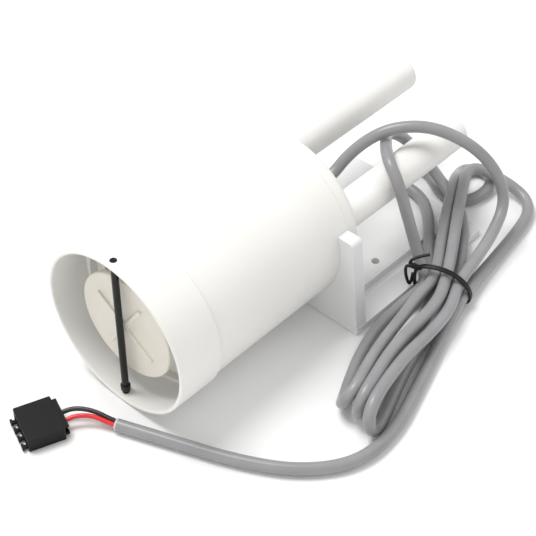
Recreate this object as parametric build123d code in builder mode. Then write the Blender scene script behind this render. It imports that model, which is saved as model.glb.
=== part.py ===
from build123d import *
from math import atan2, cos, degrees, pi, radians, sin, tan
import os

# Submersible sump pump: a cylindrical body lying on its back, open mouth at -X, outlet at +X.
# Frame: X along the pump axis, +Z up, origin under the middle of the pump on the surface it lies on.
# All sizes in millimetres. A "depth" is measured from the mouth plane along the pump axis.

# ---------------------------------------------------------------- driving sizes
body_radius = 31.0           # moulded body outside
body_length = 90.2           # mouth plane to far face
body_wall = 2.0
collar_step = 1.0            # the mouth collar stands this far outside the body
collar_length = 18.8
collar_lip = 1.3             # collar wall at the mouth
collar_overlap = 2.6         # length of body held in the collar
cap_thickness = 6.0          # visible rim of the end cap
cap_edge_radius = 3.0
plug_length = 6.0            # part of a cap or plate that enters the body

tube_spacing = 38.0          # between the two tube axes
tube_rise = 3.8              # tube axes above the pump axis
outlet_radius = 7.4
outlet_wall = 1.6
outlet_free = 83.8           # free length beyond the far face
vent_radius = 6.8
vent_wall = 1.6
vent_free = 68.2
socket_step = 0.3            # a tube is this much slimmer where it enters the cap, and stops on its face

web_setback = 11.5           # bracket web's front face to the far face
web_thickness = 5.2
web_above_axis = 9.3
web_lean = 4.2               # the web's near edge leans this far in towards the body
web_corner = 1.8
plate_thickness = 2.8
plate_free = 62.3            # far face to the plate's free end
plate_corner = 2.0
plate_overhang = 9.6         # plate's near edge (-Y side) beyond the body
plate_far = 24.2             # pump axis to the plate's far edge (+Y side)
slot_width = 4.6
slot_length = 43.5
slot_from_face = 4.3         # far face to the slot's near end
slot_offset = 30.1           # pump axis to slot centre line
hole_dia = 3.2
hole_from_face = 20.5
hole_offset = 22.3

pin_depth = 3.1
pin_radius = 1.25
pin_bead_radius = 1.75
pin_bead_length = 2.6

impeller_radius = 20.7
impeller_face = 5.6          # depth of the impeller's front face
impeller_disc = 2.0
rib_height = 0.8
rib_width = 1.3
rib_span = 30.0
rib_angle = 34.0
vane_count = 6
vane_height = 8.0
vane_thickness = 1.6
hub_radius = 4.5

pump_plate_depth = 19.0      # front face of the plate between pump chamber and motor
pump_plate_thickness = 6.0
shaft_radius = 1.5
motor_radius = 11.5
motor_length = 33.0
motor_wall = 0.9
motor_cap_thickness = 4.0
bush_radius = 3.0
seal_wall = 2.0
magnet_arc = 130.0
magnet_thickness = 1.25
core_length = 16.0
screw_radius = 1.0
screw_head_radius = 1.9
screw_circle = 7.4

gland_length = 12.0
gland_base_radius = 5.6
gland_shoulder = 1.0         # the gland's flange stands this far outside its hole
gland_tip_radius = 3.3

cable_dia = 4.5
wire_dia = 1.7
pole_pitch = 3.96
pole_count = 4

# ---------------------------------------------------------------- clearances and fits
fit = 0.05                   # assembled plastic parts, per side
running_fit = 0.03           # shaft in bush or seal, per side
moving_gap = 0.4             # between fixed and turning parts
ring_section = 0.75          # O-ring section radius
groove_room = 0.1

# ---------------------------------------------------------------- derived places
collar_radius = body_radius + collar_step
collar_bore_radius = collar_radius - collar_lip
outlet_reach = body_length + outlet_free     # mouth plane to outlet end
vent_reach = body_length + vent_free
plate_near = body_radius + plate_overhang
plate_reach = body_length + plate_free
web_depth = body_length - web_setback
axis_z = collar_radius
axis_y = (plate_near - collar_radius) / 2
mouth_x = -outlet_reach / 2
web_height = axis_z + web_above_axis
slot_start = body_length + slot_from_face
slot_end = slot_start + slot_length
hole_depth = body_length + hole_from_face
body_bore = body_radius - body_wall
spigot_depth = collar_length - collar_overlap        # where the body tube starts inside the collar
cap_depth = body_length - cap_thickness
plug_radius = body_bore - fit
pump_plate_back = pump_plate_depth + pump_plate_thickness
outlet_start = pump_plate_depth + 2.5
vent_start = cap_depth - plug_length - 4.0
shoulder_depth = body_length + fit
motor_depth = pump_plate_back + fit
motor_back = motor_depth + motor_length
core_radius = motor_radius - motor_wall - fit - magnet_thickness - moving_gap
core_depth = motor_depth + 9.0
commutator_depth = motor_back - 5.0
shaft_end = motor_back + motor_cap_thickness + 2.0
pump_axis = Axis((mouth_x, axis_y, axis_z), (1, 0, 0))
half_section = Plane(origin=(mouth_x, axis_y, axis_z), x_dir=(1, 0, 0), z_dir=(0, -1, 0))
outlet_y = tube_spacing / 2
vent_y = -tube_spacing / 2

os.makedirs("parts", exist_ok=True)


def station(depth):
    """Plane square to the pump axis at a depth: local x is +Y, local y is +Z, normal is +X."""
    return Plane(origin=(mouth_x + depth, axis_y, axis_z), x_dir=(0, 1, 0), z_dir=(1, 0, 0))


def save(part, name):
    """Label a finished piece and write it as its own node."""
    part.label = name
    export_step(part, f"parts/{name}.step")


# ---------------------------------------------------------------- body
# Mouth collar: the fat ring around the open mouth, with a rounded lip and a socket for the body.
with BuildPart() as mouth_collar:
    with BuildSketch(half_section):
        with BuildLine():
            Polyline((0, collar_bore_radius), (0, collar_radius), (collar_length, collar_radius),
                     (collar_length, body_radius + fit), (spigot_depth - fit, body_radius + fit),
                     (spigot_depth - fit, collar_bore_radius), close=True)
        make_face()
    revolve(axis=pump_axis)
    lip_edges = mouth_collar.edges().group_by(Axis.X)[0]
    fillet(lip_edges, 0.45 * (collar_radius - collar_bore_radius))
    chamfer(mouth_collar.edges().group_by(Axis.X)[-1].sort_by(SortBy.RADIUS)[-1], 0.35)
    with BuildSketch(Plane((mouth_x + pin_depth, axis_y, 0))):
        Circle(pin_radius + fit)
    extrude(amount=2 * collar_radius, mode=Mode.SUBTRACT)
save(mouth_collar.part, "mouth_collar")

# Body tube between the collar and the end cap.
with BuildPart() as housing:
    with BuildSketch(station(spigot_depth)):
        Circle(body_radius)
        Circle(body_bore, mode=Mode.SUBTRACT)
    extrude(amount=cap_depth - spigot_depth)
save(housing.part, "housing")

# End cap: rounded rim outside, plug with an O-ring groove inside, holes for both tubes and the gland.
with BuildPart() as end_cap:
    with BuildSketch(station(cap_depth + fit)):
        Circle(body_radius)
    extrude(amount=cap_thickness - fit)
    fillet(end_cap.edges().group_by(Axis.X)[-1], cap_edge_radius)
    with BuildSketch(station(cap_depth - plug_length)):
        Circle(plug_radius)
    extrude(amount=plug_length + fit)
    with BuildSketch(station(cap_depth - plug_length / 2 - ring_section - groove_room)):
        Circle(plug_radius + 1)
        Circle(plug_radius - 2 * ring_section, mode=Mode.SUBTRACT)
    extrude(amount=2 * (ring_section + groove_room), mode=Mode.SUBTRACT)
    with BuildSketch(station(cap_depth - plug_length - 1)):
        with Locations((outlet_y, tube_rise)):
            Circle(outlet_radius - socket_step + fit)
        with Locations((vent_y, tube_rise)):
            Circle(vent_radius - socket_step + fit)
        Circle(gland_base_radius - gland_shoulder + fit)
    extrude(amount=plug_length + cap_thickness + 2, mode=Mode.SUBTRACT)
save(end_cap.part, "end_cap")

with BuildPart() as cap_o_ring:
    with BuildSketch(half_section):
        with Locations((cap_depth - plug_length / 2, body_bore - fit - ring_section)):
            Circle(ring_section)
    revolve(axis=pump_axis)
save(cap_o_ring.part, "cap_o_ring")

# ---------------------------------------------------------------- tubes
# Each tube has a slimmer inner part and a shoulder that seats on the end cap's face.
with BuildPart() as outlet_tube:
    with BuildSketch(station(outlet_start)):
        with Locations((outlet_y, tube_rise)):
            Circle(outlet_radius - socket_step)
    extrude(amount=shoulder_depth - outlet_start)
    with BuildSketch(station(shoulder_depth)):
        with Locations((outlet_y, tube_rise)):
            Circle(outlet_radius)
    extrude(amount=outlet_reach - shoulder_depth)
    with BuildSketch(station(outlet_start)):
        with Locations((outlet_y, tube_rise)):
            Circle(outlet_radius - outlet_wall)
    extrude(amount=outlet_reach - outlet_start, mode=Mode.SUBTRACT)
    fillet(outlet_tube.edges().group_by(Axis.X)[-1], 0.45 * outlet_wall)
save(outlet_tube.part, "outlet_tube")

with BuildPart() as vent_tube:
    with BuildSketch(station(vent_start)):
        with Locations((vent_y, tube_rise)):
            Circle(vent_radius - socket_step)
    extrude(amount=shoulder_depth - vent_start)
    with BuildSketch(station(shoulder_depth)):
        with Locations((vent_y, tube_rise)):
            Circle(vent_radius)
    extrude(amount=vent_reach - shoulder_depth)
    with BuildSketch(station(vent_start)):
        with Locations((vent_y, tube_rise)):
            Circle(vent_radius - vent_wall)
    extrude(amount=vent_reach - vent_start, mode=Mode.SUBTRACT)
    fillet(vent_tube.edges().group_by(Axis.X)[-1], 0.45 * vent_wall)
save(vent_tube.part, "vent_tube")

# ---------------------------------------------------------------- bracket
# L-shaped mounting bracket: an upright web around the body and a slotted plate behind it.
with BuildPart() as mounting_bracket:
    with BuildSketch(Plane(origin=(mouth_x + web_depth, axis_y, 0), x_dir=(0, 1, 0), z_dir=(1, 0, 0))):
        with BuildLine():
            Polyline((-plate_near, 0), (plate_far, 0), (plate_far, web_height),
                     (web_lean - plate_near, web_height), close=True)
        make_face()
    extrude(amount=web_thickness)
    with BuildSketch(Plane((mouth_x, axis_y, 0))):
        with Locations(((web_depth + plate_reach) / 2, (plate_far - plate_near) / 2)):
            Rectangle(plate_reach - web_depth, plate_far + plate_near)
    extrude(amount=plate_thickness)
    upright_corners = mounting_bracket.edges().filter_by(Axis.Z).group_by(Axis.X)[-1]
    fillet(upright_corners, plate_corner)
    web_top = mounting_bracket.edges().filter_by(Axis.X).group_by(Axis.Z)[-1].sort_by(Axis.Y)[0]
    fillet(web_top, web_corner)
    with BuildSketch(station(web_depth - 1)):
        Circle(body_radius + fit)
    extrude(amount=body_length - web_depth + 2, mode=Mode.SUBTRACT)
    with BuildSketch(Plane((mouth_x, axis_y, -1))):
        with Locations(((slot_start + slot_end) / 2, -slot_offset)):
            SlotOverall(slot_end - slot_start, slot_width)
        with Locations((hole_depth, -hole_offset)):
            Circle(hole_dia / 2)
    extrude(amount=plate_thickness + 2, mode=Mode.SUBTRACT)
save(mounting_bracket.part, "mounting_bracket")

# ---------------------------------------------------------------- retaining pin across the mouth
with BuildPart() as retaining_pin:
    with BuildSketch(Plane((mouth_x + pin_depth, axis_y, axis_z - collar_radius + 0.5))):
        Circle(pin_radius)
    extrude(amount=2 * collar_radius - 0.6)
    bead_top = axis_z - collar_bore_radius + 1.2 + pin_bead_length
    with BuildSketch(Plane((mouth_x + pin_depth, axis_y, bead_top - pin_bead_length))):
        Circle(pin_bead_radius)
    extrude(amount=pin_bead_length)
    bead_rims = retaining_pin.edges().filter_by(GeomType.CIRCLE).sort_by(SortBy.RADIUS)[-2:]
    fillet(bead_rims, 0.8 * (pin_bead_radius - pin_radius))
save(retaining_pin.part, "retaining_pin")

# ---------------------------------------------------------------- wet end
# Impeller: front disc with a raised cross, hub with a blind bore, and vanes behind the disc.
with BuildPart() as impeller:
    with BuildSketch(station(impeller_face)):
        Circle(impeller_radius)
    extrude(amount=impeller_disc)
    fillet(impeller.edges().group_by(Axis.X)[0], 0.6)
    with BuildSketch(station(impeller_face - rib_height)):
        for turn in (rib_angle, rib_angle + 90):
            with Locations(Location((0, 0, 0), (0, 0, turn))):
                SlotOverall(rib_span, rib_width)
    extrude(amount=rib_height + 0.2)
    with BuildSketch(station(impeller_face)):
        Circle(hub_radius)
    extrude(amount=impeller_disc + vane_height + 1.0)
    with BuildSketch(station(impeller_face + impeller_disc)):
        vane_length = impeller_radius - 1.0 - hub_radius / 2
        with PolarLocations(hub_radius / 2 + vane_length / 2, vane_count):
            Rectangle(vane_length, vane_thickness)
    extrude(amount=vane_height)
    with BuildSketch(station(impeller_face + impeller_disc + 1.5)):
        Circle(shaft_radius + 0.01)
    extrude(amount=vane_height + 2, mode=Mode.SUBTRACT)
save(impeller.part, "impeller")

with BuildPart() as pump_plate:
    with BuildSketch(station(pump_plate_depth)):
        Circle(plug_radius)
    extrude(amount=pump_plate_thickness)
    with BuildSketch(station(pump_plate_depth + pump_plate_thickness / 2 - ring_section - groove_room)):
        Circle(plug_radius + 1)
        Circle(plug_radius - 2 * ring_section, mode=Mode.SUBTRACT)
    extrude(amount=2 * (ring_section + groove_room), mode=Mode.SUBTRACT)
    with BuildSketch(station(pump_plate_depth - 1)):
        Circle(shaft_radius + 0.7)
        with Locations((outlet_y, tube_rise)):
            Circle(outlet_radius - outlet_wall)
        with Locations((0, screw_circle), (0, -screw_circle)):
            Circle(screw_radius + fit)
    extrude(amount=pump_plate_thickness + 2, mode=Mode.SUBTRACT)
    with BuildSketch(station(outlet_start - fit)):
        with Locations((outlet_y, tube_rise)):
            Circle(outlet_radius - socket_step + fit)
        Circle(bush_radius + seal_wall + fit)
    extrude(amount=pump_plate_thickness, mode=Mode.SUBTRACT)
    with BuildSketch(station(pump_plate_depth - 1)):
        with Locations((0, screw_circle), (0, -screw_circle)):
            Circle(screw_head_radius + fit)
    extrude(amount=1 + 2.2, mode=Mode.SUBTRACT)
save(pump_plate.part, "pump_plate")

with BuildPart() as plate_o_ring:
    with BuildSketch(half_section):
        with Locations((pump_plate_depth + pump_plate_thickness / 2, body_bore - fit - ring_section)):
            Circle(ring_section)
    revolve(axis=pump_axis)
save(plate_o_ring.part, "plate_o_ring")

with BuildPart() as shaft_seal:
    with BuildSketch(station(outlet_start)):
        Circle(bush_radius + seal_wall)
        Circle(shaft_radius + running_fit, mode=Mode.SUBTRACT)
    extrude(amount=pump_plate_back - outlet_start)
save(shaft_seal.part, "shaft_seal")

# ---------------------------------------------------------------- motor
with BuildPart() as motor_shaft:
    shaft_start = impeller_face + impeller_disc + 1.6
    with BuildSketch(station(shaft_start)):
        Circle(shaft_radius)
    extrude(amount=shaft_end - shaft_start)
save(motor_shaft.part, "motor_shaft")

with BuildPart() as motor_can:
    with BuildSketch(station(motor_depth)):
        Circle(motor_radius)
    extrude(amount=motor_length)
    with BuildSketch(station(motor_depth + 1.2)):
        Circle(motor_radius - motor_wall)
    extrude(amount=motor_length, mode=Mode.SUBTRACT)
    with BuildSketch(station(motor_depth - 1)):
        Circle(bush_radius + fit)
        with Locations((0, screw_circle), (0, -screw_circle)):
            Circle(screw_radius + fit)
    extrude(amount=4, mode=Mode.SUBTRACT)
save(motor_can.part, "motor_can")

with BuildPart() as front_bush:
    with BuildSketch(station(motor_depth)):
        Circle(bush_radius)
        Circle(shaft_radius + running_fit, mode=Mode.SUBTRACT)
    extrude(amount=4.0)
save(front_bush.part, "front_bush")

with BuildPart() as motor_end_cap:
    with BuildSketch(station(motor_back + fit)):
        Circle(motor_radius)
        Circle(bush_radius + fit, mode=Mode.SUBTRACT)
    extrude(amount=motor_cap_thickness)
save(motor_end_cap.part, "motor_end_cap")

with BuildPart() as rear_bush:
    with BuildSketch(station(motor_back + fit)):
        Circle(bush_radius)
        Circle(shaft_radius + running_fit, mode=Mode.SUBTRACT)
    extrude(amount=motor_cap_thickness)
save(rear_bush.part, "rear_bush")

# Two arc magnets on the inside of the can.
with BuildPart() as field_magnets:
    with BuildSketch(station(core_depth - 3)):
        Circle(motor_radius - motor_wall - fit)
        Circle(core_radius + moving_gap, mode=Mode.SUBTRACT)
        gap_width = 2 * core_radius * sin(radians((180 - magnet_arc) / 2))
        Rectangle(2 * motor_radius, gap_width, mode=Mode.SUBTRACT)
    extrude(amount=core_length + 6)
save(field_magnets.part, "field_magnets")

# Three-pole armature core with winding slots.
with BuildPart() as armature_core:
    with BuildSketch(station(core_depth)):
        Circle(core_radius)
        Circle(shaft_radius + 0.01, mode=Mode.SUBTRACT)
        with PolarLocations(core_radius * 0.62, 3, start_angle=60):
            SlotOverall(0.62 * core_radius, 2.6, mode=Mode.SUBTRACT)
    extrude(amount=core_length)
save(armature_core.part, "armature_core")

# End turns of the armature coils, one bundle at each end of the core.
with BuildPart() as armature_windings:
    for end_depth in (core_depth - 2.6, core_depth + core_length + 0.1):
        with BuildSketch(station(end_depth)):
            Circle(core_radius - 1.0)
            Circle(shaft_radius + 1.0, mode=Mode.SUBTRACT)
        extrude(amount=2.5)
save(armature_windings.part, "armature_windings")

with BuildPart() as commutator:
    with BuildSketch(station(commutator_depth)):
        Circle(bush_radius)
        Circle(shaft_radius + 0.01, mode=Mode.SUBTRACT)
    extrude(amount=4.0)
save(commutator.part, "commutator")

with BuildPart() as carbon_brushes:
    with BuildSketch(station(commutator_depth + 1)):
        with Locations((0, bush_radius + 0.1 + 1.7), (0, -bush_radius - 0.1 - 1.7)):
            Rectangle(2.0, 3.4)
    extrude(amount=2.0)
save(carbon_brushes.part, "carbon_brushes")

with BuildPart() as motor_screws:
    with BuildSketch(station(pump_plate_depth + 0.4)):
        with Locations((0, screw_circle), (0, -screw_circle)):
            Circle(screw_head_radius)
    extrude(amount=1.7)
    with BuildSketch(station(pump_plate_depth + 2.0)):
        with Locations((0, screw_circle), (0, -screw_circle)):
            Circle(screw_radius)
    extrude(amount=motor_depth + 1.8 - pump_plate_depth - 2.0)
save(motor_screws.part, "motor_screws")

# Driver board behind the motor, with its capacitor.
with BuildPart() as circuit_board:
    with BuildSketch(station(shaft_end + 2)):
        Rectangle(17, 20)
    extrude(amount=1.4)
save(circuit_board.part, "circuit_board")

with BuildPart() as capacitor:
    with BuildSketch(station(shaft_end + 3.45)):
        with Locations((0, 6)):
            Circle(3.0)
    extrude(amount=4.5)
save(capacitor.part, "capacitor")

# ---------------------------------------------------------------- cable gland
with BuildPart() as cable_gland:
    with BuildSketch(half_section):
        with BuildLine():
            Polyline((cap_depth - plug_length + 0.5, 0), (cap_depth - plug_length + 0.5, gland_base_radius - gland_shoulder),
                     (body_length + fit, gland_base_radius - gland_shoulder),
                     (body_length + fit, gland_base_radius),
                     (body_length + 2.2, gland_base_radius), (body_length + 3.0, gland_base_radius - 0.9),
                     (body_length + gland_length, gland_tip_radius), (body_length + gland_length, 0),
                     close=True)
        make_face()
    revolve(axis=pump_axis)
save(cable_gland.part, "cable_gland")

# ---------------------------------------------------------------- cable
gland_tip_x = mouth_x + body_length + gland_length


def corner_radii(points):
    """Largest arcs that the runs allow: 0.45 of the shorter run over the tangent of half the turn."""
    radii = []
    for before, corner, after in zip(points, points[1:], points[2:]):
        arriving = Vector(*corner) - Vector(*before)
        leaving = Vector(*after) - Vector(*corner)
        half_turn = radians(arriving.get_angle(leaving)) / 2
        radii.append(0.45 * min(arriving.length, leaving.length) / tan(half_turn))
    return radii


def cord_tube(points, dia, name):
    """Sweep a round cord along straight runs joined by tangent arcs."""
    radii = corner_radii(points)
    with BuildPart() as tube:
        with BuildLine() as route:
            FilletPolyline(*points, radius=radii)
        start = route.wire()
        with BuildSketch(Plane(origin=start @ 0, z_dir=start % 0)):
            Circle(dia / 2)
        sweep(path=start)
    length = start.length
    expected = pi * (dia / 2) ** 2 * length
    print(f"{name}: length {length:.1f}, radii {[round(radius, 1) for radius in radii]}, "
          f"volume ratio {tube.part.volume / expected:.4f}")
    save(tube.part, name)


# From the gland up over the vent tube and down into the hank.
lead_points = [(gland_tip_x, axis_y, axis_z), (gland_tip_x + 11.3, axis_y, axis_z + 0.4), (35, 2.8, 40.6),
               (39.5, -2, 52), (48, -12, 58.6), (58.5, -26, 56), (67.5, -37, 45), (72.5, -44, 29),
               (67.5, -47.2, 15), (51.5, -48.5, 9.4)]
# The open loop that leaves the hank, rises on the vent tube's far side, crosses over it and comes back.
loop_points = [(58, -33, 6.2), (66, -26.5, 6.4), (71.5, -17.5, 8), (72.5, -8, 15), (69, -1.5, 24),
               (61.5, 3.2, 32), (53, 2.5, 38.5), (44, -4, 45), (34.5, -12.5, 50.2), (27.5, -22.5, 50.5),
               (25.2, -32, 42.4), (26, -35.5, 29), (28, -38, 16)]
# The turn that runs under the vent tube and folds back across the bracket's plate.
turn_points = [(86, -25.5, 3.8), (77, -25.8, 2.9), (70.5, -21, 2.7), (69, -13, 2.7), (72.8, -5.5, 2.7),
               (79, 4.5, 2.7), (77.8, 13, 3.4), (71.2, 18.3, 5.3), (62.7, 17.7, 5.6), (56.9, 11.5, 5.6),
               (57.2, 2, 5.6), (58.8, -7.5, 5.6), (56, -16, 5.6), (49, -23.5, 5.6), (41, -30.5, 5.6)]
# From the tie along the surface to the stripped end of the jacket.
tail_points = [(30, -54.5, 5), (18.5, -57.8, 3.8), (4, -62.8, 2.4), (-14, -69.5, 2.4), (-35, -77.5, 2.4),
               (-54, -77, 2.4), (-70, -64.5, 2.4), (-81, -45, 2.4), (-89, -25, 2.4), (-97, -5.2, 2.4)]
cord_tube(lead_points, cable_dia, "cord_lead")
cord_tube(loop_points, cable_dia, "cord_loop")
cord_tube(turn_points, cable_dia, "cord_turn")
cord_tube(tail_points, cable_dia, "cord_tail")

# Hank: the folded turns of the cable as one closed shape, waisted where the tie holds it.
tie_middle = (27.3, -47.6)
tie_heading = degrees(atan2(-0.36, -0.93))
hank_width = 20.6
waist_bottom = 1.4
waist_height = 12.6
waist_corner = 4.0
folds_height = 17.4
turns_height = 15.5
tie_plane = Plane(origin=(*tie_middle, waist_bottom + waist_height / 2),
                  x_dir=(-sin(radians(tie_heading)), cos(radians(tie_heading)), 0),
                  z_dir=(cos(radians(tie_heading)), sin(radians(tie_heading)), 0))
hank_floor = 0.1
plate_room = 0.5
with BuildPart() as cord_hank:
    with BuildSketch(tie_plane.offset(-12)):
        RectangleRounded(hank_width, waist_height, waist_corner)
    extrude(amount=24)
    with BuildSketch(Plane.XY.offset(hank_floor)):
        with BuildLine():
            Polyline((21, -38.2), (0, -37.2), (-14, -40.2), (-28, -45.6), (-39, -51.6), (-44.5, -56),
                     (-46, -64), (-46, -71.4), (-42, -74.4), (-32, -72.2), (-14, -65.4), (4, -61),
                     (20, -58.4), (28.9, -58.8), close=True)
        make_face()
    extrude(amount=folds_height - hank_floor)
    with BuildSketch(Plane.XY.offset(hank_floor)):
        with BuildLine():
            Polyline((25.7, -36.4), (36, -31.8), (48, -26), (62, -17.8), (76, -10), (86, -7), (93, -7.4),
                     (96.9, -14), (96, -24), (95, -39), (90, -46.6), (75, -50.4), (44, -54.8), (33.6, -57),
                     close=True)
        make_face()
    extrude(amount=turns_height - hank_floor)
    with BuildSketch(Plane((mouth_x, axis_y, 0))):
        with Locations(((web_depth + plate_reach + plate_room) / 2, (plate_far - plate_near) / 2)):
            Rectangle(plate_reach + plate_room - web_depth, plate_far + plate_near + 2 * plate_room)
    extrude(amount=plate_thickness + plate_room, mode=Mode.SUBTRACT)
save(cord_hank.part, "cord_hank")

# Twist tie: a closed band around the hank with its two ends twisted into a knot.
tie_thickness = 1.2
tie_width = 2.4
with BuildPart() as twist_tie:
    with BuildSketch(tie_plane.offset(-tie_width / 2)):
        RectangleRounded(hank_width + 2 * (fit + tie_thickness), waist_height + 2 * (fit + tie_thickness),
                         waist_corner + 1)
        RectangleRounded(hank_width + 2 * fit, waist_height + 2 * fit, waist_corner, mode=Mode.SUBTRACT)
    extrude(amount=tie_width)
save(twist_tie.part, "twist_tie")

# ---------------------------------------------------------------- connector and its wires
connector_length = 13.3
connector_height = 5.6
connector_heading = 158.5
connector_plane = Plane(origin=(-114.8, 13.9, 0.1),
                        x_dir=(cos(radians(connector_heading)), sin(radians(connector_heading)), 0))
connector_width = pole_count * pole_pitch
rear_step = 1.6
cavity_width = 2.6
cavity_height = 2.6
wire_level = 2.8
pole_rows = [(pole - (pole_count - 1) / 2) * pole_pitch for pole in range(pole_count)]

with BuildPart() as connector_housing:
    with BuildSketch(connector_plane):
        RectangleRounded(connector_length, connector_width, 0.5)
    extrude(amount=connector_height)
    with BuildSketch(connector_plane.offset(0.6)):
        with Locations((-(connector_length + rear_step) / 2, 0)):
            Rectangle(rear_step + 0.2, connector_width - 2.4)
    extrude(amount=connector_height - 1.4)
    with BuildSketch(connector_plane.offset(0.3)):
        for row in pole_rows:
            with Locations((connector_length / 2 + 0.6, row)):
                Rectangle(1.4, 1.1)
            with Locations((connector_length / 2 + 1.5, row)):
                Rectangle(0.8, 2.0)
    extrude(amount=1.6)
    tunnel = connector_plane.offset(wire_level - cavity_height / 2)
    with BuildSketch(tunnel):
        for row in pole_rows:
            with Locations((-connector_length / 2 + 1.5, row), (connector_length / 2 - 2.5, row)):
                Rectangle(7.0, cavity_width)
    extrude(amount=cavity_height, mode=Mode.SUBTRACT)
save(connector_housing.part, "connector_housing")

contact_start = connector_length / 2 - 6.0
with BuildPart() as connector_contacts:
    with BuildSketch(connector_plane.offset(wire_level - 0.9)):
        for row in pole_rows[1:3]:
            with Locations((contact_start + 2.2, row)):
                Rectangle(4.4, 1.8)
    extrude(amount=1.8)
save(connector_contacts.part, "connector_contacts")


def on_connector(along, across):
    """A point in the row frame from the connector's own length and width, at wire height."""
    return tuple((connector_plane * Pos(along, across, wire_level)).position)


wire_entry = -connector_length / 2 + 1.0
wire_runs = {
    "black_wire": [(-96.25, -4.85, 2.4), (-98.9, 3.2, 3.2), on_connector(-connector_length / 2 - 5.8, pole_rows[1]),
                   on_connector(wire_entry, pole_rows[1])],
    "red_wire": [(-97.75, -5.5, 2.4), (-100.6, 1.8, 3.2), on_connector(-connector_length / 2 - 5.4, pole_rows[2]),
                 on_connector(wire_entry, pole_rows[2])],
}
for wire_name, wire_points in wire_runs.items():
    cord_tube(wire_points, wire_dia, wire_name)
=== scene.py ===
import math

import bmesh
import bpy
from mathutils import Matrix, Vector


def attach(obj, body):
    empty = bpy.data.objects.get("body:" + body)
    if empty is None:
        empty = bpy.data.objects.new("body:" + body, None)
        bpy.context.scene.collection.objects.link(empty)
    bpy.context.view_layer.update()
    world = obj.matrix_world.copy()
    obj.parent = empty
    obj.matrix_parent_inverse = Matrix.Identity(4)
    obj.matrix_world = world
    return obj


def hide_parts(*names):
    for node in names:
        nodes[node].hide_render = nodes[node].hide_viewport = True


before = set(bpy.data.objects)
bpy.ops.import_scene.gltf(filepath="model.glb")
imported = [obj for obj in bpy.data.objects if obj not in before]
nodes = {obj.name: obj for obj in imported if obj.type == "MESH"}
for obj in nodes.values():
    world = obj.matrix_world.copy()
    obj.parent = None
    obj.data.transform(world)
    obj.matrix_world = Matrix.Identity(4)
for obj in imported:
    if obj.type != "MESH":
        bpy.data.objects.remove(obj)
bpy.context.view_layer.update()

# ---------------------------------------------------------------- camera
# A long lens looks down on the open mouth of the pump from the left, and the pump lies across the view.
# It is set by its place and its right, up and back directions in the pump's frame.
eye = Vector((-0.30285, -0.26639, 0.39337))
right = Vector((0.6809, -0.7324, 0.0))
up = Vector((0.5087, 0.4730, 0.7194))
back = Vector((-0.5269, -0.4898, 0.6946))
camera_data = bpy.data.cameras.new("camera")
camera_data.lens = 100.8
camera_data.sensor_width = 36.0
camera_data.clip_start = 0.01
camera = bpy.data.objects.new("camera", camera_data)
bpy.context.scene.collection.objects.link(camera)
camera.matrix_world = Matrix((
    (right.x, up.x, back.x, eye.x),
    (right.y, up.y, back.y, eye.y),
    (right.z, up.z, back.z, eye.z),
    (0.0, 0.0, 0.0, 1.0)))
bpy.context.scene.camera = camera

# ---------------------------------------------------------------- body of the pump
# Mouth collar, body tube, end cap, bracket and both tubes are one warm white moulding compound.
# It has a fine matt spark-eroded texture, and it turns a little beige where the light is low.
gloss_change = 0.06


def moulded(name, light, dark, roughness, grain=1400.0, depth=0.00004, patch=30.0, coat=0.0):
    """A moulded finish: two close tints in soft patches, an even grain, and gloss that varies a little."""
    material = bpy.data.materials.new(name)
    material.use_nodes = True
    tree = material.node_tree
    shader = tree.nodes["Principled BSDF"]
    shader.inputs["Coat Weight"].default_value = coat
    shader.inputs["Coat Roughness"].default_value = 0.25
    place = tree.nodes.new("ShaderNodeTexCoord")
    patches = tree.nodes.new("ShaderNodeTexNoise")
    patches.inputs["Scale"].default_value = patch
    patches.inputs["Detail"].default_value = 4.0
    tint = tree.nodes.new("ShaderNodeValToRGB")
    tint.color_ramp.elements[0].position = 0.3
    tint.color_ramp.elements[0].color = (*dark, 1)
    tint.color_ramp.elements[1].position = 0.7
    tint.color_ramp.elements[1].color = (*light, 1)
    gloss = tree.nodes.new("ShaderNodeMapRange")
    gloss.inputs["To Min"].default_value = roughness - gloss_change
    gloss.inputs["To Max"].default_value = roughness + gloss_change
    texture = tree.nodes.new("ShaderNodeTexNoise")
    texture.inputs["Scale"].default_value = grain
    texture.inputs["Detail"].default_value = 2.0
    bump = tree.nodes.new("ShaderNodeBump")
    bump.inputs["Strength"].default_value = 0.5
    bump.inputs["Distance"].default_value = depth
    tree.links.new(place.outputs["Object"], patches.inputs["Vector"])
    tree.links.new(place.outputs["Object"], texture.inputs["Vector"])
    tree.links.new(patches.outputs["Fac"], tint.inputs["Fac"])
    tree.links.new(tint.outputs["Color"], shader.inputs["Base Color"])
    tree.links.new(patches.outputs["Fac"], gloss.inputs["Value"])
    tree.links.new(gloss.outputs["Result"], shader.inputs["Roughness"])
    tree.links.new(texture.outputs["Fac"], bump.inputs["Height"])
    tree.links.new(bump.outputs["Normal"], shader.inputs["Normal"])
    return material


def dress(material, *names):
    """Give CAD nodes their finish."""
    for name in names:
        for slot in nodes[name].material_slots:
            slot.material = material


body_white = moulded("body white", (0.88, 0.872, 0.84), (0.85, 0.84, 0.80), 0.5)
dress(body_white, "mouth_collar", "housing", "end_cap")
tube_white = moulded("tube white", (0.89, 0.885, 0.86), (0.86, 0.85, 0.82), 0.42)
dress(tube_white, "outlet_tube", "vent_tube")
# The bracket is the same white moulding; its darker, greyer tint is painted shade for the shade it lies in
# under the body and tubes.
bracket_shaded_white = moulded("bracket white painted shade", (0.79, 0.795, 0.79), (0.75, 0.757, 0.757), 0.38)
dress(bracket_shaded_white, "mounting_bracket")

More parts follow.
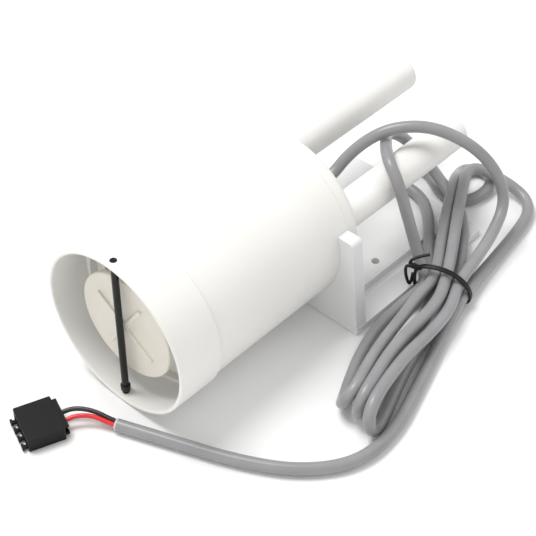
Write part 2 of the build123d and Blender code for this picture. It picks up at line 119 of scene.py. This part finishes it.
# ---------------------------------------------------------------- impeller and retaining pin
# The impeller is a natural ivory moulding with a raised cross on its face.
# The black nylon pin crosses the mouth just in front of it, and its bead sits on the collar's inside.
impeller_ivory = moulded("impeller ivory", (0.78, 0.745, 0.665), (0.73, 0.69, 0.60), 0.4, patch=60.0)
dress(impeller_ivory, "impeller")
pin_black = moulded("pin black", (0.006, 0.006, 0.006), (0.003, 0.003, 0.003), 0.38)
pin_black.node_tree.nodes["Principled BSDF"].inputs["Specular IOR Level"].default_value = 0.3
dress(pin_black, "retaining_pin")

# ---------------------------------------------------------------- hidden works
# Seals, pump plate, motor and driver board, closed inside the body.
# Each has its own plain engineering material: rubber, plated or ground steel, bronze, copper, ferrite.
seal_black = moulded("seal rubber", (0.03, 0.03, 0.032), (0.02, 0.02, 0.022), 0.7, grain=2500.0)
dress(seal_black, "cap_o_ring", "plate_o_ring", "shaft_seal")
dress(body_white, "pump_plate")
can_steel = moulded("zinc plated steel", (0.62, 0.63, 0.64), (0.52, 0.53, 0.54), 0.34, grain=900.0)
shaft_steel = moulded("ground steel", (0.66, 0.66, 0.67), (0.58, 0.58, 0.59), 0.22, grain=3000.0)
bush_bronze = moulded("sintered bronze", (0.55, 0.38, 0.18), (0.45, 0.30, 0.13), 0.45, grain=2600.0)
coil_copper = moulded("enamelled copper", (0.56, 0.21, 0.08), (0.42, 0.14, 0.05), 0.3, grain=2200.0)
for metal in (can_steel, shaft_steel, bush_bronze, coil_copper):
    metal.node_tree.nodes["Principled BSDF"].inputs["Metallic"].default_value = 1.0
dress(can_steel, "motor_can", "armature_core", "motor_screws")
dress(shaft_steel, "motor_shaft")
dress(bush_bronze, "front_bush", "rear_bush")
dress(coil_copper, "armature_windings", "commutator")
dress(moulded("magnet ferrite", (0.05, 0.05, 0.055), (0.03, 0.03, 0.034), 0.6), "field_magnets")
dress(moulded("brush carbon", (0.03, 0.03, 0.03), (0.018, 0.018, 0.018), 0.55), "carbon_brushes")
dress(moulded("motor cap nylon", (0.72, 0.71, 0.66), (0.66, 0.65, 0.60), 0.45), "motor_end_cap")
dress(moulded("board laminate", (0.03, 0.20, 0.08), (0.02, 0.15, 0.06), 0.35), "circuit_board")
dress(moulded("capacitor sleeve", (0.03, 0.04, 0.09), (0.02, 0.03, 0.07), 0.35), "capacitor")

# ---------------------------------------------------------------- cable gland
# A grey rubber bush pressed into the end cap's middle hole.
# It tapers down over the cable's first few millimetres and keeps it from kinking there.
gland_grey = moulded("gland rubber", (0.30, 0.295, 0.305), (0.26, 0.255, 0.265), 0.55, grain=2400.0)
dress(gland_grey, "cable_gland")

# ---------------------------------------------------------------- cable
# One length of two-core cable, 4.5 mm over a matt grey jacket, from the gland to the connector.
# It loops over the vent tube, is folded into a loose hank that a twist tie holds, and runs on along the
# surface to its stripped end in front of the mouth.
cable_radius = 0.00225
from_gland = [
    (0.0152, 0.0043, 0.032), (0.0225, 0.0043, 0.0323), (0.0295, 0.0028, 0.0388), (0.036, -0.002, 0.046),
    (0.0425, -0.008, 0.0504), (0.0505, -0.017, 0.0514), (0.0578, -0.0264, 0.0469), (0.0645, -0.034, 0.0385),
    (0.07, -0.0392, 0.026), (0.069, -0.0428, 0.0165), (0.0575, -0.0464, 0.0118), (0.043, -0.0494, 0.0102)]
first_fold = [
    (0.03, -0.0516, 0.0088), (0.018, -0.0574, 0.0084), (0.003, -0.06, 0.0094), (-0.01, -0.0614, 0.0114),
    (-0.022, -0.0642, 0.0138), (-0.032, -0.0668, 0.015), (-0.039, -0.0688, 0.0148),
    (-0.0426, -0.0702, 0.0116), (-0.0428, -0.0712, 0.006), (-0.0394, -0.0712, 0.0024),
    (-0.0324, -0.069, 0.00235), (-0.022, -0.0648, 0.00235), (-0.006, -0.059, 0.00235),
    (0.01, -0.0558, 0.00235), (0.02, -0.053, 0.003), (0.0282, -0.05, 0.0042)]
over_the_tube = [
    (0.038, -0.046, 0.005), (0.048, -0.04, 0.0052), (0.057, -0.0335, 0.0053), (0.064, -0.0275, 0.0055),
    (0.0685, -0.0205, 0.0062), (0.071, -0.0125, 0.0082), (0.0705, -0.005, 0.0145), (0.067, -0.0005, 0.022),
    (0.0615, 0.0018, 0.0295), (0.0545, 0.0022, 0.0355), (0.0475, -0.001, 0.0398), (0.041, -0.0058, 0.0428),
    (0.034, -0.0118, 0.046), (0.0286, -0.0176, 0.0476), (0.0268, -0.0236, 0.0425), (0.028, -0.027, 0.031),
    (0.0298, -0.0294, 0.02), (0.0286, -0.0345, 0.011)]
second_fold = [
    (0.0256, -0.0414, 0.0056), (0.012, -0.0404, 0.0036), (-0.003, -0.0406, 0.0024),
    (-0.017, -0.0448, 0.00235), (-0.028, -0.0498, 0.00235), (-0.0366, -0.0542, 0.0025),
    (-0.0406, -0.0568, 0.0058), (-0.041, -0.059, 0.0108), (-0.0372, -0.0597, 0.0137),
    (-0.03, -0.0572, 0.0134), (-0.019, -0.053, 0.0112), (-0.007, -0.0494, 0.0092), (0.004, -0.0472, 0.0086),
    (0.015, -0.045, 0.0089), (0.0259, -0.0439, 0.0089)]
inner_turn = [
    (0.034, -0.0394, 0.0092), (0.044, -0.033, 0.0094), (0.055, -0.0266, 0.0104), (0.0652, -0.0207, 0.0118),
    (0.074, -0.016, 0.0108), (0.0814, -0.012, 0.0056), (0.0886, -0.0096, 0.0029), (0.0942, -0.0148, 0.0024),
    (0.0918, -0.022, 0.0024), (0.0835, -0.0244, 0.0024), (0.0754, -0.0226, 0.0024),
    (0.0708, -0.0164, 0.0024), (0.073, -0.0085, 0.0024), (0.0775, -0.002, 0.0024), (0.079, 0.0055, 0.0024),
    (0.075, 0.0118, 0.0028), (0.0682, 0.013, 0.005), (0.0632, 0.0086, 0.0053), (0.0626, 0.001, 0.0053),
    (0.0622, -0.0086, 0.0052), (0.0568, -0.0164, 0.0052), (0.0495, -0.023, 0.00515),
    (0.041, -0.0296, 0.00515), (0.0335, -0.037, 0.0051)]
third_fold = [
    (0.0263, -0.045, 0.0042), (0.014, -0.05, 0.0035), (0.0, -0.0515, 0.00235), (-0.014, -0.0532, 0.00235),
    (-0.026, -0.0568, 0.00235), (-0.0356, -0.0612, 0.0024), (-0.0402, -0.0636, 0.0056),
    (-0.0408, -0.0644, 0.0112), (-0.0372, -0.0639, 0.0146), (-0.0295, -0.0618, 0.0149),
    (-0.017, -0.0576, 0.0129), (-0.005, -0.0552, 0.0116), (0.006, -0.0542, 0.0108),
    (0.017, -0.0526, 0.0106), (0.0274, -0.048, 0.0104)]
outer_turn = [
    (0.037, -0.0426, 0.0108), (0.048, -0.0358, 0.0116), (0.059, -0.029, 0.0126), (0.07, -0.0226, 0.0132),
    (0.079, -0.0176, 0.0126), (0.086, -0.0182, 0.0104), (0.09, -0.0248, 0.007), (0.092, -0.032, 0.0044),
    (0.0912, -0.039, 0.0028), (0.0855, -0.0442, 0.0024), (0.075, -0.0468, 0.0024), (0.06, -0.0492, 0.0024),
    (0.044, -0.0516, 0.0034)]
to_connector = [
    (0.03, -0.0545, 0.005), (0.0185, -0.0578, 0.0038), (0.004, -0.0628, 0.0024), (-0.014, -0.069, 0.0024),
    (-0.035, -0.076, 0.0024), (-0.054, -0.0758, 0.0024), (-0.07, -0.0635, 0.0024), (-0.081, -0.045, 0.0024),
    (-0.089, -0.025, 0.0024), (-0.097, -0.0052, 0.0024)]


def cord(name, points, radius, material):
    """A round cord on one smooth spline through its route's points, closed at both ends."""
    data = bpy.data.curves.new(name, "CURVE")
    data.dimensions = "3D"
    data.bevel_depth = radius
    data.bevel_resolution = 5
    data.resolution_u = 8
    data.use_fill_caps = True
    spline = data.splines.new("NURBS")
    spline.points.add(len(points) - 1)
    for point, place in zip(spline.points, points):
        point.co = (*place, 1.0)
    spline.order_u = 3
    spline.use_endpoint_u = True
    data.materials.append(material)
    piece = bpy.data.objects.new(name, data)
    bpy.context.scene.collection.objects.link(piece)
    return piece


jacket_grey = moulded("cable jacket", (0.315, 0.309, 0.317), (0.275, 0.269, 0.277), 0.36,
                      grain=1800.0, depth=0.00003, patch=90.0, coat=0.1)
cable_route = (from_gland + first_fold + over_the_tube + second_fold + inner_turn + third_fold
               + outer_turn + to_connector)
cable = cord("cable", cable_route, cable_radius, jacket_grey)
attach(cable, "pump_body")
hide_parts("cord_lead", "cord_loop", "cord_turn", "cord_tail", "cord_hank")

# ---------------------------------------------------------------- cores
# Two stranded wires in 1.7 mm of coloured PVC, black and red.
# They leave the cut jacket side by side and enter the two middle ways at the connector's rear.
core_radius = 0.00085
core_black = moulded("black insulation", (0.02, 0.021, 0.02), (0.012, 0.012, 0.012), 0.32, grain=2600.0)
core_red = moulded("red insulation", (0.72, 0.012, 0.02), (0.62, 0.008, 0.014), 0.3,
                   grain=2600.0, coat=0.3)
black_route = [
    (-0.0958, -0.0056, 0.0025), (-0.0972, -0.0022, 0.0031), (-0.0990, 0.0036, 0.0042),
    (-0.1022, 0.0088, 0.0044), (-0.1056, 0.0116, 0.0036), (-0.1092, 0.0127, 0.0029)]
red_route = [
    (-0.0972, -0.0062, 0.0023), (-0.0986, -0.0030, 0.0029), (-0.1006, 0.0022, 0.0040),
    (-0.1042, 0.0062, 0.0043), (-0.1078, 0.0082, 0.0036), (-0.1112, 0.0092, 0.0029)]
black_core = cord("black_core", black_route, core_radius, core_black)
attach(black_core, "pump_body")
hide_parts("black_wire")
red_core = cord("red_core", red_route, core_radius, core_red)
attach(red_core, "pump_body")
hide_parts("red_wire")

# ---------------------------------------------------------------- connector
# A four-way crimp housing moulded in black nylon, with a hook under each front way.
# The two middle ways hold tin plated crimp contacts, pushed in from the rear.
connector_black = moulded("connector nylon", (0.006, 0.006, 0.0058), (0.003, 0.003, 0.003), 0.46,
                          grain=1600.0)
connector_black.node_tree.nodes["Principled BSDF"].inputs["Specular IOR Level"].default_value = 0.22
dress(connector_black, "connector_housing")
contact_tin = moulded("tin plate", (0.7, 0.69, 0.66), (0.6, 0.59, 0.56), 0.3)
contact_tin.node_tree.nodes["Principled BSDF"].inputs["Metallic"].default_value = 1.0
dress(contact_tin, "connector_contacts")

# ---------------------------------------------------------------- cut jacket end
# The jacket is cut square with a knife where the two cores come out.
# The cut ring's pale tint is painted light for the lit cut face, far paler than the jacket's own grey.
jacket_end = Vector((-0.097, -0.0052, 0.0024))
jacket_heading = Vector((-0.376, 0.927, 0.0)).normalized()
cut_back_radius = 0.0023
cut_front_radius = 0.00215
cut_depth = 0.0007
cut_rounding = 0.0001
same_height = 1e-7
# Pale tint: painted light standing in for the light on the cut face.
cut_painted_light = moulded("cut jacket", (0.66, 0.65, 0.62), (0.52, 0.51, 0.49), 0.7,
                   grain=3000.0, patch=600.0)


def finish_mesh(mesh, name, material):
    """Turn a bmesh into a piece with one material, its place kept in its mesh."""
    bmesh.ops.recalc_face_normals(mesh, faces=mesh.faces)
    data = bpy.data.meshes.new(name)
    mesh.to_mesh(data)
    mesh.free()
    data.materials.append(material)
    piece = bpy.data.objects.new(name, data)
    bpy.context.scene.collection.objects.link(piece)
    return piece


cut_ring = bmesh.new()
bmesh.ops.create_cone(cut_ring, cap_ends=True, segments=32, radius1=cut_back_radius,
                      radius2=cut_front_radius, depth=cut_depth)
rims = [edge for edge in cut_ring.edges
        if abs(edge.verts[0].co.z - edge.verts[1].co.z) < same_height]
bmesh.ops.bevel(cut_ring, geom=rims, offset=cut_rounding, offset_type="OFFSET", affect="EDGES",
                segments=2, profile=0.5, material=-1)
along_the_jacket = jacket_heading.to_track_quat("Z", "Y").to_matrix().to_4x4()
bmesh.ops.transform(cut_ring, matrix=Matrix.Translation(jacket_end) @ along_the_jacket,
                    verts=cut_ring.verts)
cut_end = finish_mesh(cut_ring, "jacket_cut", cut_painted_light)
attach(cut_end, "pump_body")

# ---------------------------------------------------------------- twist tie
# A flat tie of black plastic over two steel wires, passed once round the hank.
# Its ends are twisted together at the pump's side, with one tail bent over the top and the other
# folded down.
tie_middle = Vector((0.0273, -0.0476, 0.0))
tie_heading = Vector((-0.9325, -0.361, 0.0)).normalized()
tie_outward = Vector((0.361, -0.9325, 0.0)).normalized()
tie_black = moulded("tie coating", (0.012, 0.012, 0.011), (0.006, 0.006, 0.006), 0.38, grain=2200.0)
tie_black.node_tree.nodes["Principled BSDF"].inputs["Specular IOR Level"].default_value = 0.35
wire_radius = 0.00048
wire_spacing = 0.00062       # each of the two wires to the tie's middle line
web_radius = 0.00034


def tie_place(across, height, along=0.0):
    """A point from its distance across the hank, its height, and its distance along the hank."""
    return tie_middle + tie_outward * across + tie_heading * along + Vector((0.0, 0.0, height))


band = [(-0.0112, 0.0118), (-0.0092, 0.0139), (-0.0052, 0.0148), (-0.0008, 0.0148), (0.0038, 0.0136),
        (0.0078, 0.0106), (0.0102, 0.0066), (0.0102, 0.0030), (0.0076, 0.0010), (0.0020, 0.0008),
        (-0.0040, 0.0008), (-0.0088, 0.0012), (-0.0110, 0.0036), (-0.0116, 0.0072)]
tie_wires = []
for strand, along, radius in (("front", wire_spacing, wire_radius), ("rear", -wire_spacing, wire_radius),
                              ("web", 0.0, web_radius)):
    loop = [tie_place(across, height, along) for across, height in band]
    tie_wires.append(cord(f"tie_band_{strand}", loop + loop[:1], radius, tie_black))

knot_start = tie_place(-0.0098, 0.0124, 0.0)
knot_end = tie_place(-0.0130, 0.0152, 0.0022)
knot_axis = (knot_end - knot_start).normalized()
knot_side = knot_axis.cross(Vector((0.0, 0.0, 1.0))).normalized()
knot_up = knot_axis.cross(knot_side)
knot_turns = 2.0
knot_steps = 18
knot_spread = 0.00062        # each twisted end to the knot's middle line
knot_wire_radius = 0.0006
tail_over = [tie_place(-0.0127, 0.0170, 0.0012), tie_place(-0.0102, 0.0176, -0.0008),
             tie_place(-0.0070, 0.0184, -0.0022)]
tail_down = [tie_place(-0.0146, 0.0140, 0.0022), tie_place(-0.0146, 0.0090, 0.0014),
             tie_place(-0.0132, 0.0040, 0.0010), tie_place(-0.0124, 0.0050, 0.0004),
             tie_place(-0.0122, 0.0092, 0.0002)]
for tail, phase, ending in (("over", 0.0, tail_over), ("down", math.pi, tail_down)):
    twist = []
    for step in range(knot_steps + 1):
        share = step / knot_steps
        angle = phase + 2 * math.pi * knot_turns * share
        swing = knot_spread * (knot_side * math.cos(angle) + knot_up * math.sin(angle))
        twist.append(knot_start.lerp(knot_end, share) + swing)
    tie_wires.append(cord(f"tie_knot_{tail}", twist + ending, knot_wire_radius, tie_black))
for wire in tie_wires:
    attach(wire, "pump_body")
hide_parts("twist_tie")

# ---------------------------------------------------------------- floor and light
# A plain white paper floor under an even white sky.
# A broad lamp overhead, a weak one from the right, and one that looks into the mouth.
floor_width = 8.0
floor_drop = 0.0003
bpy.ops.mesh.primitive_plane_add(size=floor_width, location=(0.0, 0.0, -floor_drop))
floor = bpy.context.object
floor.name = "floor"
paper = bpy.data.materials.new("floor white")
paper.use_nodes = True
paper_shader = paper.node_tree.nodes["Principled BSDF"]
paper_shader.inputs["Base Color"].default_value = (0.93, 0.93, 0.93, 1)
paper_shader.inputs["Roughness"].default_value = 0.9
floor.data.materials.append(paper)

world = bpy.data.worlds.new("studio")
bpy.context.scene.world = world
world.use_nodes = True
sky = world.node_tree.nodes["Background"]
sky.inputs["Color"].default_value = (1.0, 1.0, 1.0, 1)
sky.inputs["Strength"].default_value = 0.6
bpy.context.scene.view_settings.view_transform = "Standard"


def lamp(name, place, size, power, aim=(0.0, 0.0, 0.02)):
    """A round area lamp at a place, turned to shine at its aim."""
    data = bpy.data.lights.new(name, "AREA")
    data.shape = "DISK"
    data.size = size
    data.energy = power
    piece = bpy.data.objects.new(name, data)
    bpy.context.scene.collection.objects.link(piece)
    piece.location = place
    piece.rotation_euler = (Vector(aim) - Vector(place)).to_track_quat("-Z", "Y").to_euler()


lamp("key", (-0.15, 0.4, 1.1), 0.6, 10.0)
lamp("fill", (0.9, -0.6, 0.8), 0.9, 2.0)
lamp("mouth", (-0.75, -0.35, 0.3), 0.5, 0.8, aim=(-0.08, 0.0, 0.03))
